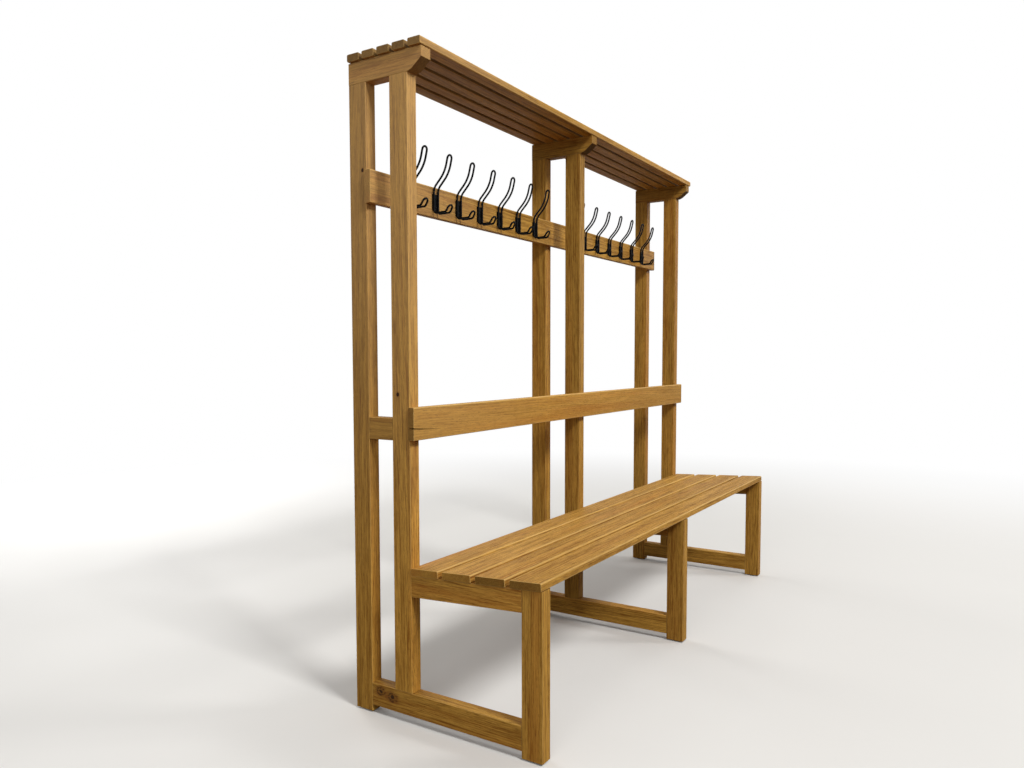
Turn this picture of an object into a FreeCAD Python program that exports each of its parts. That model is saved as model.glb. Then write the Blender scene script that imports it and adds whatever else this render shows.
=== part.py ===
import FreeCAD, Part
import Sketcher
import math
import os
import re

# A slatted bench with a hook rail and a top shelf, in millimetres.
# Three like frames stand across the length and boards tie them together.
# The finished part has +Z up and its front towards -Y; left and right are as seen from the front.
# Each body is drawn looking from its own rear: y runs forward from the rear face of the rear posts.

SIZES = {
    # Overall sizes and the timber of the three frames
    "unit_height": 1800,
    "unit_depth": 606,
    "frame_span": 1980,
    "frame_thickness": 38,
    "post_width": 60,
    "post_gap": 82,
    "leg_width": 60,
    # Shelf bearer with its chamfered nose
    "bearer_height": 58,
    "bearer_reach": 48,
    "nose_front": 28,
    "nose_run": 38,
    # Rails of a frame
    "spacer_drop": 3,
    "spacer_height": 60,
    "bottom_rail_low": 22,
    "bottom_rail_height": 64,
    "seat_rail_height": 58,
    # Seat, measured at its front top edge and falling to the rear
    "seat_height": 450,
    "seat_fall": 21,
    "seat_setback": 3,
    "seat_post_gap": 1,
    "seat_gap": 14,
    "seat_thickness": 21,
    "seat_overhang": 4,
    # Top shelf
    "shelf_rear": 4,
    "shelf_front_overhang": 4,
    "shelf_gap": 11,
    "shelf_thickness": 20,
    "shelf_overhang": 10,
    # Backrest and hook rail, fixed to the front of the posts
    "backrest_rise": 320,
    "backrest_height": 88,
    "backrest_thickness": 20,
    "backrest_overhang": 8,
    "hook_rail_drop": 309,
    "hook_rail_height": 89,
    "hook_rail_thickness": 20,
    "hook_rail_overhang": 8,
    "board_easing": 2,
    # Stub tenons
    "tenon_thickness": 12,
    "tenon_length": 25,
    "tenon_shoulder": 8,
    "tenon_cover": 8,
    "mortise_clearance": 0.15,
    "mortise_end_gap": 1,
    # Wood screws and dowels
    "screw_diameter": 5,
    "screw_length": 40,
    "screw_tip": 4,
    "screw_head": 10,
    "screw_head_height": 3.5,
    "screw_socket": 4,
    "screw_socket_depth": 2,
    "screw_hole_clearance": 0.3,
    "counterbore_clearance": 2,
    "board_bite": 12,
    "pilot_end_gap": 1,
    "shelf_head_sink": 0.5,
    "hook_rail_screw_inset": 25,
    "dowel_diameter": 8,
    "dowel_post_bite": 20,
    "dowel_inset": 24,
    "leg_dowel_inset": 20,
    # Coat hooks: one closed wire on a plate
    "hook_pitch": 116,
    "wire_diameter": 6,
    "wire_spacing": 20,
    "wire_plate_gap": 0.1,
    "upper_bend_radius": 28,
    "tip_bend_radius": 90,
    "upper_start_drop": 4,
    "upper_reach": 40,
    "upper_rise": 37,
    "tip_reach": 12,
    "tip_rise": 49,
    "lower_drop": 77,
    "lower_bend_radius": 8,
    "lower_reach": 48,
    "curl_bend_radius": 9,
    "curl_reach": 12,
    "curl_rise": 19,
    "plate_width": 28,
    "plate_height": 49,
    "plate_thickness": 2,
    "plate_drop": 21,
    "plate_easing": 1.5,
    "hook_screw_diameter": 4,
    "hook_screw_length": 15,
    "hook_screw_head": 8,
    "hook_screw_head_height": 2.6,
    "hook_screw_socket": 3,
    "hook_screw_inset": 12,
    # Foot glides
    "glide_height": 4,
    "glide_diameter": 28,
    "glide_rim": 2,
    "glide_pin": 4,
    "glide_pin_length": 16,
}

SEAT_SLATS = 4
SHELF_SLATS = 5
HOOKS_PER_BAY = 7

# Places and sizes that follow from the sizes above
PLACES = {
    "frame_reach": "(frame_span - frame_thickness) / 2",
    "inner_rear": "post_width + post_gap",
    "inner_front": "inner_rear + post_width",
    "leg_rear": "unit_depth - leg_width",
    "bearer_length": "inner_front + bearer_reach",
    "bearer_top": "unit_height - shelf_thickness",
    "bearer_low": "bearer_top - bearer_height",
    "backrest_low": "seat_height + backrest_rise",
    "spacer_low": "backrest_low - spacer_drop",
    "spacer_top": "spacer_low + spacer_height",
    "bottom_rail_top": "bottom_rail_low + bottom_rail_height",
    "seat_front": "unit_depth - seat_setback",
    "seat_rear": "inner_front + seat_post_gap",
    "seat_slope": "seat_fall / (seat_front - seat_rear)",
    "seat_stretch": "sqrt(1 + seat_slope * seat_slope)",
    "seat_tilt": "atan(seat_slope)",
    "seat_rear_height": "seat_height - seat_fall",
    "seat_run": "(seat_front - seat_rear) * seat_stretch",
    "seat_slat_width": f"(seat_run - {SEAT_SLATS - 1} * seat_gap) / {SEAT_SLATS}",
    "seat_length": "frame_span + 2 * seat_overhang",
    "shelf_depth": "bearer_length - shelf_rear + shelf_front_overhang",
    "shelf_slat_width": f"(shelf_depth - {SHELF_SLATS - 1} * shelf_gap) / {SHELF_SLATS}",
    "shelf_length": "frame_span + 2 * shelf_overhang",
    "backrest_length": "frame_span + 2 * backrest_overhang",
    "hook_rail_length": "frame_span + 2 * hook_rail_overhang",
    "mortise_thickness": "tenon_thickness + 2 * mortise_clearance",
    "mortise_depth": "tenon_length + mortise_end_gap",
    "screw_hole": "screw_diameter + screw_hole_clearance",
    "counterbore": "screw_head + counterbore_clearance",
    "screw_grip": "screw_length - board_bite",
    "seat_counterbore_depth": "seat_rail_height - screw_grip",
    "post_counterbore_depth": "post_width - screw_grip",
    "shelf_counterbore_depth": "screw_head_height + shelf_head_sink",
    "shelf_bite": "screw_length - shelf_thickness + shelf_counterbore_depth",
    "shelf_pilot_depth": "shelf_bite + pilot_end_gap",
    "shelf_head_height": "unit_height - shelf_counterbore_depth",
    "seat_head_depth": "seat_thickness + screw_grip",
    "top_tenon_length": "bearer_height - shelf_pilot_depth - tenon_cover",
    "top_mortise_depth": "top_tenon_length + mortise_end_gap",
    "board_pilot_depth": "board_bite + pilot_end_gap",
    "dowel_hole": "dowel_diameter + screw_hole_clearance",
    "hook_screw_hole": "hook_screw_diameter + screw_hole_clearance",
    "hook_pilot_depth": "hook_screw_length - plate_thickness + pilot_end_gap",
    "rail_face": "post_width + hook_rail_thickness",
    "hook_rail_top": "unit_height - hook_rail_drop",
    "hook_rail_low": "hook_rail_top - hook_rail_height",
    "rail_screw_low": "hook_rail_low + hook_rail_screw_inset",
    "rail_screw_high": "hook_rail_top - hook_rail_screw_inset",
    "plate_top": "hook_rail_top - plate_drop",
    "hook_screw_low": "plate_top - plate_height + hook_screw_inset",
    "hook_screw_high": "plate_top - hook_screw_inset",
    "leg_dowel": "(unit_depth - leg_dowel_inset - seat_rear) * seat_stretch",
    "dowel_hole_depth": "dowel_post_bite + pilot_end_gap",
    "dowel_low": "backrest_low + dowel_inset",
    "dowel_high": "backrest_low + backrest_height - dowel_inset",
    "bay_centre": "frame_reach / 2",
    "rear_glide_line": "post_width / 2",
    "front_glide_line": "leg_rear + leg_width / 2",
    "glide_hole": "glide_pin + screw_hole_clearance",
    "glide_hole_depth": "glide_pin_length + pilot_end_gap",
}

for number in range(SEAT_SLATS):
    PLACES[f"seat_slat_start_{number + 1}"] = f"{number} * (seat_slat_width + seat_gap)"
    PLACES[f"seat_screw_{number + 1}"] = f"seat_slat_start_{number + 1} + seat_slat_width / 2"
for number in range(SHELF_SLATS):
    PLACES[f"shelf_slat_start_{number + 1}"] = f"shelf_rear + {number} * (shelf_slat_width + shelf_gap)"
    PLACES[f"shelf_screw_{number + 1}"] = f"shelf_slat_start_{number + 1} + shelf_slat_width / 2"
for number in range(2 * HOOKS_PER_BAY):
    bay, step = divmod(number, HOOKS_PER_BAY)
    PLACES[f"hook_place_{number + 1}"] = (
        f"{2 * bay - 1} * bay_centre + {step - HOOKS_PER_BAY // 2} * hook_pitch")

FRAMES = {"left": "-frame_reach", "middle": "0", "right": "frame_reach"}
HOOK_PLACES = [f"hook_place_{number + 1}" for number in range(2 * HOOKS_PER_BAY)]
RAIL_SCREW_HEIGHTS = ("rail_screw_low", "rail_screw_high")
HOOK_SCREW_HEIGHTS = ("hook_screw_low", "hook_screw_high")
DOWEL_HEIGHTS = ("dowel_low", "dowel_high")
# The front slat lies over the legs and is dowelled to them; the others are screwed to the seat rails
SEAT_SCREWS = [f"seat_screw_{number + 1}" for number in range(SEAT_SLATS - 1)]

doc = FreeCAD.newDocument("slatted_bench")


def expand(text):
    """Point each word of an expression at the sheet that holds it."""
    def point(match):
        word = match.group(0)
        if word in SIZES:
            return f"Sizes.{word}"
        return f"Places.{word}" if word in PLACES else word
    return re.sub(r"[a-z][a-z0-9_]*", point, text)


def bind(thing, prop, text):
    thing.setExpression(prop, expand(text))


def fill_sheet(name, cells):
    """A sheet with a word and its value in each row, the word as the value's alias."""
    filled = doc.addObject("Spreadsheet::Sheet", name)
    for row, (alias, value) in enumerate(cells.items(), 1):
        filled.set(f"A{row}", alias)
        filled.set(f"B{row}", value)
        filled.setAlias(f"B{row}", alias)
    return filled


sizes_sheet = fill_sheet("Sizes", {alias: str(number) for alias, number in SIZES.items()})
places_sheet = fill_sheet("Places", {alias: f"={expand(text)}" for alias, text in PLACES.items()})
doc.recompute()


def size(name):
    """The value of a size or a place, for pieces whose shape or place is set in code."""
    sheet = sizes_sheet if name in SIZES else places_sheet
    return float(sheet.get(name))


# Bodies and their features

def new_body(label, across="0"):
    """A body that faces forward, at a given place along the length."""
    body = doc.addObject("PartDesign::Body", label)
    body.Label = label
    body.Placement = FreeCAD.Placement(FreeCAD.Vector(), FreeCAD.Rotation(FreeCAD.Vector(0, 0, 1), 180))
    bind(body, "Placement.Base.x", across)
    bind(body, "Placement.Base.y", "unit_depth / 2")
    return body


def new_sketch(body, name, plane, shift=("0", "0", "0"), tilt_axis=None):
    """A sketch on one of the body's own planes, shifted and, for the seat, tilted."""
    sketch = body.newObject("Sketcher::SketchObject", name)
    support = next(item for item in body.Origin.OriginFeatures if item.Role == plane)
    sketch.AttachmentSupport = [(support, "")]
    sketch.MapMode = "FlatFace"
    if tilt_axis:
        turn = FreeCAD.Rotation(tilt_axis, 1)
        sketch.AttachmentOffset = FreeCAD.Placement(FreeCAD.Vector(), turn)
        bind(sketch, "AttachmentOffset.Rotation.Angle", "seat_tilt")
    for axis, text in zip("xyz", shift):
        bind(sketch, f"AttachmentOffset.Base.{axis}", text)
    return sketch


def fix_point(sketch, geometry, point, across, up):
    """Hold a point of the sketch at bound distances from the sketch's origin."""
    for kind, text in (("DistanceX", across), ("DistanceY", up)):
        index = sketch.addConstraint(Sketcher.Constraint(kind, -1, 1, geometry, point, 1.0))
        bind(sketch, f"Constraints[{index}]", text)


def draw_polygon(sketch, points):
    """A closed outline whose corners are bound to the sheet."""
    first = sketch.GeometryCount
    count = len(points)
    for turn in range(count):
        start = 2 * math.pi * turn / count
        end = 2 * math.pi * (turn + 1) / count
        line = Part.LineSegment(
            FreeCAD.Vector(math.cos(start), math.sin(start), 0),
            FreeCAD.Vector(math.cos(end), math.sin(end), 0))
        sketch.addGeometry(line, False)
    for turn in range(count):
        following = first + (turn + 1) % count
        sketch.addConstraint(Sketcher.Constraint("Coincident", first + turn, 2, following, 1))
    for turn, (across, up) in enumerate(points):
        fix_point(sketch, first + turn, 1, across, up)


def draw_circle(sketch, diameter, across, up):
    circle = Part.Circle(FreeCAD.Vector(0, 0, 0), FreeCAD.Vector(0, 0, 1), 1)
    geometry = sketch.addGeometry(circle, False)
    fix_point(sketch, geometry, 3, across, up)
    index = sketch.addConstraint(Sketcher.Constraint("Diameter", geometry, 1.0))
    bind(sketch, f"Constraints[{index}]", diameter)


def add_feature(body, kind, sketch, depth, symmetric=False, backwards=False):
    feature = body.newObject(f"PartDesign::{kind}", f"{sketch.Name}_{kind.lower()}")
    feature.Profile = sketch
    bind(feature, "Length", depth)
    if symmetric:
        feature.SideType = "Symmetric"
    feature.Reversed = backwards
    return feature


def add_slab(body, name, points, depth, kind="Pad"):
    """A prism across the frame, even about the frame's middle plane."""
    sketch = new_sketch(body, name, "YZ_Plane")
    draw_polygon(sketch, points)
    return add_feature(body, kind, sketch, depth, symmetric=True)


def box_points(rear, front, low, top):
    return [(rear, low), (front, low), (front, top), (rear, top)]


def eased_points(rear, front, low, top):
    """A board's section with its four long edges eased."""
    return [
        (f"{rear} + board_easing", low), (f"{front} - board_easing", low),
        (front, f"{low} + board_easing"), (front, f"{top} - board_easing"),
        (f"{front} - board_easing", top), (f"{rear} + board_easing", top),
        (rear, f"{top} - board_easing"), (rear, f"{low} + board_easing")]


def add_mortise(body, name, points):
    add_slab(body, name, points, "mortise_thickness", "Pocket")


def tenon_points(shoulder, way, low, top):
    """A tenon that runs forward (way +) or to the rear (way -) from its shoulder line."""
    end = f"{shoulder} {way} tenon_length"
    rear, front = (shoulder, end) if way == "+" else (end, shoulder)
    return box_points(rear, front, f"{low} + tenon_shoulder", f"{top} - tenon_shoulder")


def mortise_points(shoulder, way, low, top):
    """The mortise for the same tenon, wider by the clearance and a little deeper."""
    end = f"{shoulder} {way} mortise_depth"
    rear, front = (shoulder, end) if way == "+" else (end, shoulder)
    return box_points(
        rear, front,
        f"{low} + tenon_shoulder - mortise_clearance",
        f"{top} - tenon_shoulder + mortise_clearance")


def drill(body, name, plane, depth, diameter, spots,
          shift=("0", "0", "0"), tilt_axis=None, backwards=False):
    """One pocket of round holes, from a sketch plane and so deep."""
    sketch = new_sketch(body, name, plane, shift, tilt_axis)
    for across, up in spots:
        draw_circle(sketch, diameter, across, up)
    return add_feature(body, "Pocket", sketch, depth, backwards=backwards)


# The seat's plane: heights under the slats, and sketches that lie in it

def under_seat(forward):
    """The height of the slats' underside at a place forward of the rear face."""
    return f"(seat_rear_height + ({forward} - seat_rear) * seat_slope - seat_thickness * seat_stretch)"


def seat_shift(depth):
    """Shift of a sketch that lies in the seat's plane, so deep under the slats' tops."""
    return ("0", f"seat_rear + {depth} * sin(seat_tilt)", f"seat_rear_height - {depth} * cos(seat_tilt)")


SIDE_TILT = FreeCAD.Vector(0, 0, 1)
PLAN_TILT = FreeCAD.Vector(1, 0, 0)


def seat_rail_low(forward):
    return f"({under_seat(forward)} - seat_rail_height * seat_stretch)"


def seat_tenon_points(shoulder, way, depth, spare):
    """Outline of the seat rail's tenon or its mortise: both follow the seat's slope."""
    end = f"({shoulder} {way} {depth})"
    rear, front = (shoulder, end) if way == "+" else (end, shoulder)
    return [
        (rear, f"{seat_rail_low(rear)} + tenon_shoulder - {spare}"),
        (front, f"{seat_rail_low(front)} + tenon_shoulder - {spare}"),
        (front, f"{under_seat(front)} - tenon_shoulder + {spare}"),
        (rear, f"{under_seat(rear)} - tenon_shoulder + {spare}")]


# The frames

def drill_glide_hole(body, middle):
    drill(body, "glide_hole", "XY_Plane", "glide_hole_depth", "glide_hole", [("0", middle)],
          shift=("0", "0", "glide_height"), backwards=True)


def top_tenon_points(rear, front):
    return box_points(
        f"{rear} + tenon_shoulder", f"{front} - tenon_shoulder",
        "bearer_low", "bearer_low + top_tenon_length")


def top_mortise_points(rear, front):
    return box_points(
        f"{rear} + tenon_shoulder - mortise_clearance",
        f"{front} - tenon_shoulder + mortise_clearance",
        "bearer_low", "bearer_low + top_mortise_depth")


def make_rear_post(label, across):
    body = new_body(label, across)
    add_slab(body, "stick", box_points("0", "post_width", "glide_height", "bearer_low"), "frame_thickness")
    add_slab(body, "top_tenon", top_tenon_points("0", "post_width"), "tenon_thickness")
    add_mortise(body, "rail_mortise",
                mortise_points("post_width", "-", "bottom_rail_low", "bottom_rail_top"))
    add_mortise(body, "spacer_mortise", mortise_points("post_width", "-", "spacer_low", "spacer_top"))
    spots = [("0", height) for height in RAIL_SCREW_HEIGHTS]
    drill(body, "screw_holes", "XZ_Plane", "post_width", "screw_hole", spots)
    drill(body, "counterbores", "XZ_Plane", "post_counterbore_depth", "counterbore", spots)
    drill_glide_hole(body, "rear_glide_line")
    return body


def make_front_post(label, across):
    body = new_body(label, across)
    stick = box_points("inner_rear", "inner_front", "bottom_rail_top", "bearer_low")
    add_slab(body, "stick", stick, "frame_thickness")
    add_slab(body, "top_tenon", top_tenon_points("inner_rear", "inner_front"), "tenon_thickness")
    foot = box_points("inner_rear + tenon_shoulder", "inner_front - tenon_shoulder",
                      "bottom_rail_top - tenon_length", "bottom_rail_top")
    add_slab(body, "foot_tenon", foot, "tenon_thickness")
    add_mortise(body, "spacer_mortise", mortise_points("inner_rear", "+", "spacer_low", "spacer_top"))
    seat = seat_tenon_points("inner_front", "-", "mortise_depth", "mortise_clearance")
    add_mortise(body, "seat_rail_mortise", seat)
    drill(body, "dowel_holes", "XZ_Plane", "dowel_hole_depth", "dowel_hole",
          [("0", height) for height in DOWEL_HEIGHTS], shift=("0", "0", "-inner_front"), backwards=True)
    return body


def make_leg(label, across):
    body = new_body(label, across)
    outline = [
        ("leg_rear", "glide_height"), ("unit_depth", "glide_height"),
        ("unit_depth", under_seat("unit_depth")), ("leg_rear", under_seat("leg_rear"))]
    add_slab(body, "stick", outline, "frame_thickness")
    add_mortise(body, "rail_mortise",
                mortise_points("leg_rear", "+", "bottom_rail_low", "bottom_rail_top"))
    add_mortise(body, "seat_rail_mortise",
                seat_tenon_points("leg_rear", "+", "mortise_depth", "mortise_clearance"))
    drill(body, "dowel_hole", "XY_Plane", "dowel_hole_depth", "dowel_hole", [("0", "leg_dowel")],
          seat_shift("seat_thickness"), PLAN_TILT)
    drill_glide_hole(body, "front_glide_line")
    return body


def make_bottom_rail(label, across):
    body = new_body(label, across)
    stick = box_points("post_width", "leg_rear", "bottom_rail_low", "bottom_rail_top")
    add_slab(body, "stick", stick, "frame_thickness")
    add_slab(body, "rear_tenon", tenon_points("post_width", "-", "bottom_rail_low", "bottom_rail_top"),
             "tenon_thickness")
    add_slab(body, "front_tenon", tenon_points("leg_rear", "+", "bottom_rail_low", "bottom_rail_top"),
             "tenon_thickness")
    add_mortise(body, "post_mortise", box_points(
        "inner_rear + tenon_shoulder - mortise_clearance",
        "inner_front - tenon_shoulder + mortise_clearance",
        "bottom_rail_top - mortise_depth", "bottom_rail_top"))
    return body


def make_seat_rail(label, across):
    body = new_body(label, across)
    outline = [
        ("inner_front", seat_rail_low("inner_front")), ("leg_rear", seat_rail_low("leg_rear")),
        ("leg_rear", under_seat("leg_rear")), ("inner_front", under_seat("inner_front"))]
    add_slab(body, "stick", outline, "frame_thickness")
    add_slab(body, "rear_tenon", seat_tenon_points("inner_front", "-", "tenon_length", "0"),
             "tenon_thickness")
    add_slab(body, "front_tenon", seat_tenon_points("leg_rear", "+", "tenon_length", "0"),
             "tenon_thickness")
    spots = [("0", screw) for screw in SEAT_SCREWS]
    shift = seat_shift("(seat_thickness + seat_rail_height)")
    drill(body, "screw_holes", "XY_Plane", "seat_rail_height", "screw_hole", spots, shift, PLAN_TILT, True)
    drill(body, "counterbores", "XY_Plane", "seat_counterbore_depth", "counterbore", spots, shift,
          PLAN_TILT, True)
    return body


def make_spacer(label, across):
    body = new_body(label, across)
    stick = box_points("post_width", "inner_rear", "spacer_low", "spacer_top")
    add_slab(body, "stick", stick, "frame_thickness")
    add_slab(body, "rear_tenon", tenon_points("post_width", "-", "spacer_low", "spacer_top"),
             "tenon_thickness")
    add_slab(body, "front_tenon", tenon_points("inner_rear", "+", "spacer_low", "spacer_top"),
             "tenon_thickness")
    return body


def make_shelf_bearer(label, across):
    body = new_body(label, across)
    outline = [
        ("0", "bearer_low"), ("bearer_length - nose_run", "bearer_low"),
        ("bearer_length", "bearer_top - nose_front"), ("bearer_length", "bearer_top"), ("0", "bearer_top")]
    add_slab(body, "stick", outline, "frame_thickness")
    add_mortise(body, "rear_mortise", top_mortise_points("0", "post_width"))
    add_mortise(body, "front_mortise", top_mortise_points("inner_rear", "inner_front"))
    drill(body, "pilot_holes", "XY_Plane", "shelf_pilot_depth", "screw_hole",
          [("0", f"shelf_screw_{number + 1}") for number in range(SHELF_SLATS)],
          shift=("0", "0", "bearer_top"))
    return body


# The boards

def make_seat_slat(number):
    body = new_body(f"seat_slat_{number}")
    section = new_sketch(body, "section", "YZ_Plane", ("seat_rear", "seat_rear_height", "0"), SIDE_TILT)
    start = f"seat_slat_start_{number}"
    draw_polygon(section, eased_points(start, f"{start} + seat_slat_width", "-seat_thickness", "0"))
    add_feature(body, "Pad", section, "seat_length", symmetric=True)
    front = number == SEAT_SLATS
    place, hole = ("leg_dowel", "dowel_hole") if front else (f"seat_screw_{number}", "screw_hole")
    spots = [(across, place) for across in FRAMES.values()]
    drill(body, "fixing_holes", "XY_Plane", "board_pilot_depth", hole, spots,
          seat_shift("seat_thickness"), PLAN_TILT, True)
    return body


def make_shelf_slat(number):
    body = new_body(f"shelf_slat_{number}")
    section = new_sketch(body, "section", "YZ_Plane")
    start = f"shelf_slat_start_{number}"
    draw_polygon(section, eased_points(start, f"{start} + shelf_slat_width", "bearer_top", "unit_height"))
    add_feature(body, "Pad", section, "shelf_length", symmetric=True)
    spots = [(across, f"shelf_screw_{number}") for across in FRAMES.values()]
    top = ("0", "0", "unit_height")
    drill(body, "screw_holes", "XY_Plane", "shelf_thickness", "screw_hole", spots, top)
    drill(body, "counterbores", "XY_Plane", "shelf_counterbore_depth", "counterbore", spots, top)
    return body


def make_backrest():
    body = new_body("backrest")
    section = new_sketch(body, "section", "YZ_Plane")
    draw_polygon(section, eased_points(
        "inner_front", "inner_front + backrest_thickness", "backrest_low", "backrest_low + backrest_height"))
    add_feature(body, "Pad", section, "backrest_length", symmetric=True)
    spots = [(across, height) for across in FRAMES.values() for height in DOWEL_HEIGHTS]
    drill(body, "dowel_holes", "XZ_Plane", "board_pilot_depth", "dowel_hole", spots,
          ("0", "0", "-inner_front"))
    return body


def make_hook_rail():
    body = new_body("hook_rail")
    section = new_sketch(body, "section", "YZ_Plane")
    draw_polygon(section, eased_points("post_width", "rail_face", "hook_rail_low", "hook_rail_top"))
    add_feature(body, "Pad", section, "hook_rail_length", symmetric=True)
    rear_spots = [(across, height) for across in FRAMES.values() for height in RAIL_SCREW_HEIGHTS]
    drill(body, "rail_pilots", "XZ_Plane", "board_pilot_depth", "screw_hole", rear_spots,
          ("0", "0", "-post_width"))
    front_spots = [(across, height) for across in HOOK_PLACES for height in HOOK_SCREW_HEIGHTS]
    drill(body, "hook_pilots", "XZ_Plane", "hook_pilot_depth", "hook_screw_hole", front_spots,
          ("0", "0", "-rail_face"), backwards=True)
    return body


# Small pieces: one of each is drawn about its own axis, then set out in a group

def turned_body(name, points):
    """A body turned about its own Z axis from a half section."""
    body = doc.addObject("PartDesign::Body", name)
    section = new_sketch(body, "section", "XZ_Plane")
    draw_polygon(section, points)
    turning = body.newObject("PartDesign::Revolution", f"{name}_turning")
    turning.Profile = section
    turning.ReferenceAxis = (section, ["V_Axis"])
    turning.Angle = 360
    return body


def make_screw(name, diameter, length, head, head_height, socket):
    """A screw with the underside of its head at zero and its point below."""
    half = f"{diameter} / 2"
    body = turned_body(name, [
        ("0", f"-{length}"), (half, f"screw_tip - {length}"), (half, "0"), (f"{head} / 2", "0"),
        (f"{head} / 2", head_height), ("0", head_height)])
    sketch = new_sketch(body, "socket", "XY_Plane", ("0", "0", head_height))
    draw_polygon(sketch, [
        (f"{socket} / 2 * cos({60 * turn})", f"{socket} / 2 * sin({60 * turn})") for turn in range(6)])
    add_feature(body, "Pocket", sketch, "screw_socket_depth")
    return body


def make_dowel():
    return turned_body("dowel", box_points("0", "dowel_diameter / 2", "-dowel_post_bite", "board_bite"))


def make_glide():
    """A glide whose flat underside is at zero, with its pin upwards."""
    return turned_body("glide", [
        ("0", "0"), ("glide_diameter / 2 - glide_rim", "0"), ("glide_diameter / 2", "glide_rim"),
        ("glide_diameter / 2", "glide_height"), ("glide_pin / 2", "glide_height"),
        ("glide_pin / 2", "glide_height + glide_pin_length"), ("0", "glide_height + glide_pin_length")])


def make_plate():
    """A hook's back plate, its top edge at zero and its rear on the rail's face."""
    body = doc.addObject("PartDesign::Body", "plate")
    sketch = new_sketch(body, "outline", "XZ_Plane")
    half = "plate_width / 2"
    draw_polygon(sketch, [
        (f"plate_easing - {half}", "-plate_height"), (f"{half} - plate_easing", "-plate_height"),
        (half, "plate_easing - plate_height"), (half, "-plate_easing"),
        (f"{half} - plate_easing", "0"), (f"plate_easing - {half}", "0"),
        (f"-{half}", "-plate_easing"), (f"-{half}", "plate_easing - plate_height")])
    for height in ("-hook_screw_inset", "hook_screw_inset - plate_height"):
        draw_circle(sketch, "hook_screw_hole", "0", height)
    add_feature(body, "Pad", sketch, "plate_thickness", backwards=True)
    return body


def rounded_run(points, radii):
    """Straight runs through points, joined by tangent arcs at the inner points."""
    edges = []
    start = points[0]
    for before, corner, after, radius in zip(points, points[1:], points[2:], radii):
        back = (before - corner).normalize()
        ahead = (after - corner).normalize()
        turn = math.pi - back.getAngle(ahead)
        reach = radius * math.tan(turn / 2)
        enter = corner + back * reach
        leave = corner + ahead * reach
        inward = (back + ahead).normalize()
        middle = corner + inward * (radius / math.cos(turn / 2) - radius)
        edges.append(Part.LineSegment(start, enter).toShape())
        edges.append(Part.Arc(enter, middle, leave).toShape())
        start = leave
    edges.append(Part.LineSegment(start, points[-1]).toShape())
    return edges


def quarter_bend(start, along, side):
    """A quarter circle from the end of a run over to the hook's middle plane."""
    radius = abs(start.x)
    centre = FreeCAD.Vector(0, start.y, start.z)
    middle = centre + (side + along).normalize() * radius
    return Part.Arc(start, middle, centre + along * radius).toShape()


def make_wire_shape():
    """One hook's wire: half of it is swept, mirrored and joined. Zero is the rail's face and top edge."""
    side = FreeCAD.Vector(1, 0, 0)
    half = size("wire_spacing") / 2
    stand_off = size("plate_thickness") + size("wire_plate_gap") + size("wire_diameter") / 2
    steps = [
        (size("lower_reach") + size("curl_reach"), size("curl_rise") - size("lower_drop")),
        (size("lower_reach"), -size("lower_drop")),
        (stand_off, -size("lower_drop")),
        (stand_off, -size("upper_start_drop")),
        (stand_off + size("upper_reach"), size("upper_rise")),
        (stand_off + size("upper_reach") + size("tip_reach"), size("upper_rise") + size("tip_rise"))]
    points = [FreeCAD.Vector(half, forward, up) for forward, up in steps]
    radii = [size("curl_bend_radius"), size("lower_bend_radius"), size("upper_bend_radius"),
             size("tip_bend_radius")]
    first_way = (points[0] - points[1]).normalize()
    last_way = (points[-1] - points[-2]).normalize()
    points[0] = points[0] - first_way * half
    points[-1] = points[-1] - last_way * half
    edges = [quarter_bend(points[0], first_way, side)]
    edges += rounded_run(points, radii)
    edges.append(quarter_bend(points[-1], last_way, side))
    path = Part.Wire(Part.sortEdges(edges)[0])
    start = FreeCAD.Vector(0, points[0].y, points[0].z) + first_way * half
    ring = Part.Wire(Part.Circle(start, side, size("wire_diameter") / 2).toShape())
    swept = path.makePipeShell([ring], True, False)
    mirrored = swept.mirror(FreeCAD.Vector(), side)
    return swept.fuse(mirrored).removeSplitter()


def stand(across, forward, up):
    """A place on the part, for a piece drawn with y forward."""
    turn = FreeCAD.Rotation(FreeCAD.Vector(0, 0, 1), 180)
    return FreeCAD.Placement(FreeCAD.Vector(across, size("unit_depth") / 2 - forward, up), turn)


def axis_turn(direction):
    """Turns a piece's own Z axis to a direction."""
    return FreeCAD.Placement(FreeCAD.Vector(), FreeCAD.Rotation(FreeCAD.Vector(0, 0, 1), direction))


def make_group(label, template, placements):
    """Copies of one small piece, as separate solids in one object."""
    group = doc.addObject("Part::Feature", label)
    group.Label = label
    copies = []
    for placement in placements:
        copy = template.Shape.copy()
        copy.Placement = placement.multiply(copy.Placement)
        copies.append(copy)
    group.Shape = Part.makeCompound(copies)
    group.Placement = FreeCAD.Placement()
    return group


frame_makers = {
    "rear_post": make_rear_post, "front_post": make_front_post, "leg": make_leg,
    "bottom_rail": make_bottom_rail, "seat_rail": make_seat_rail, "spacer": make_spacer,
    "shelf_bearer": make_shelf_bearer}
sub_parts = [
    make(f"{frame}_{piece}", across)
    for frame, across in FRAMES.items()
    for piece, make in frame_makers.items()]
sub_parts += [make_seat_slat(number + 1) for number in range(SEAT_SLATS)]
sub_parts += [make_shelf_slat(number + 1) for number in range(SHELF_SLATS)]
sub_parts += [make_backrest(), make_hook_rail()]

wood_screw = make_screw(
    "wood_screw", "screw_diameter", "screw_length", "screw_head", "screw_head_height", "screw_socket")
hook_screw = make_screw(
    "hook_screw", "hook_screw_diameter", "hook_screw_length", "hook_screw_head", "hook_screw_head_height",
    "hook_screw_socket")
dowel = make_dowel()
glide = make_glide()
plate = make_plate()

doc.recompute()

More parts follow.
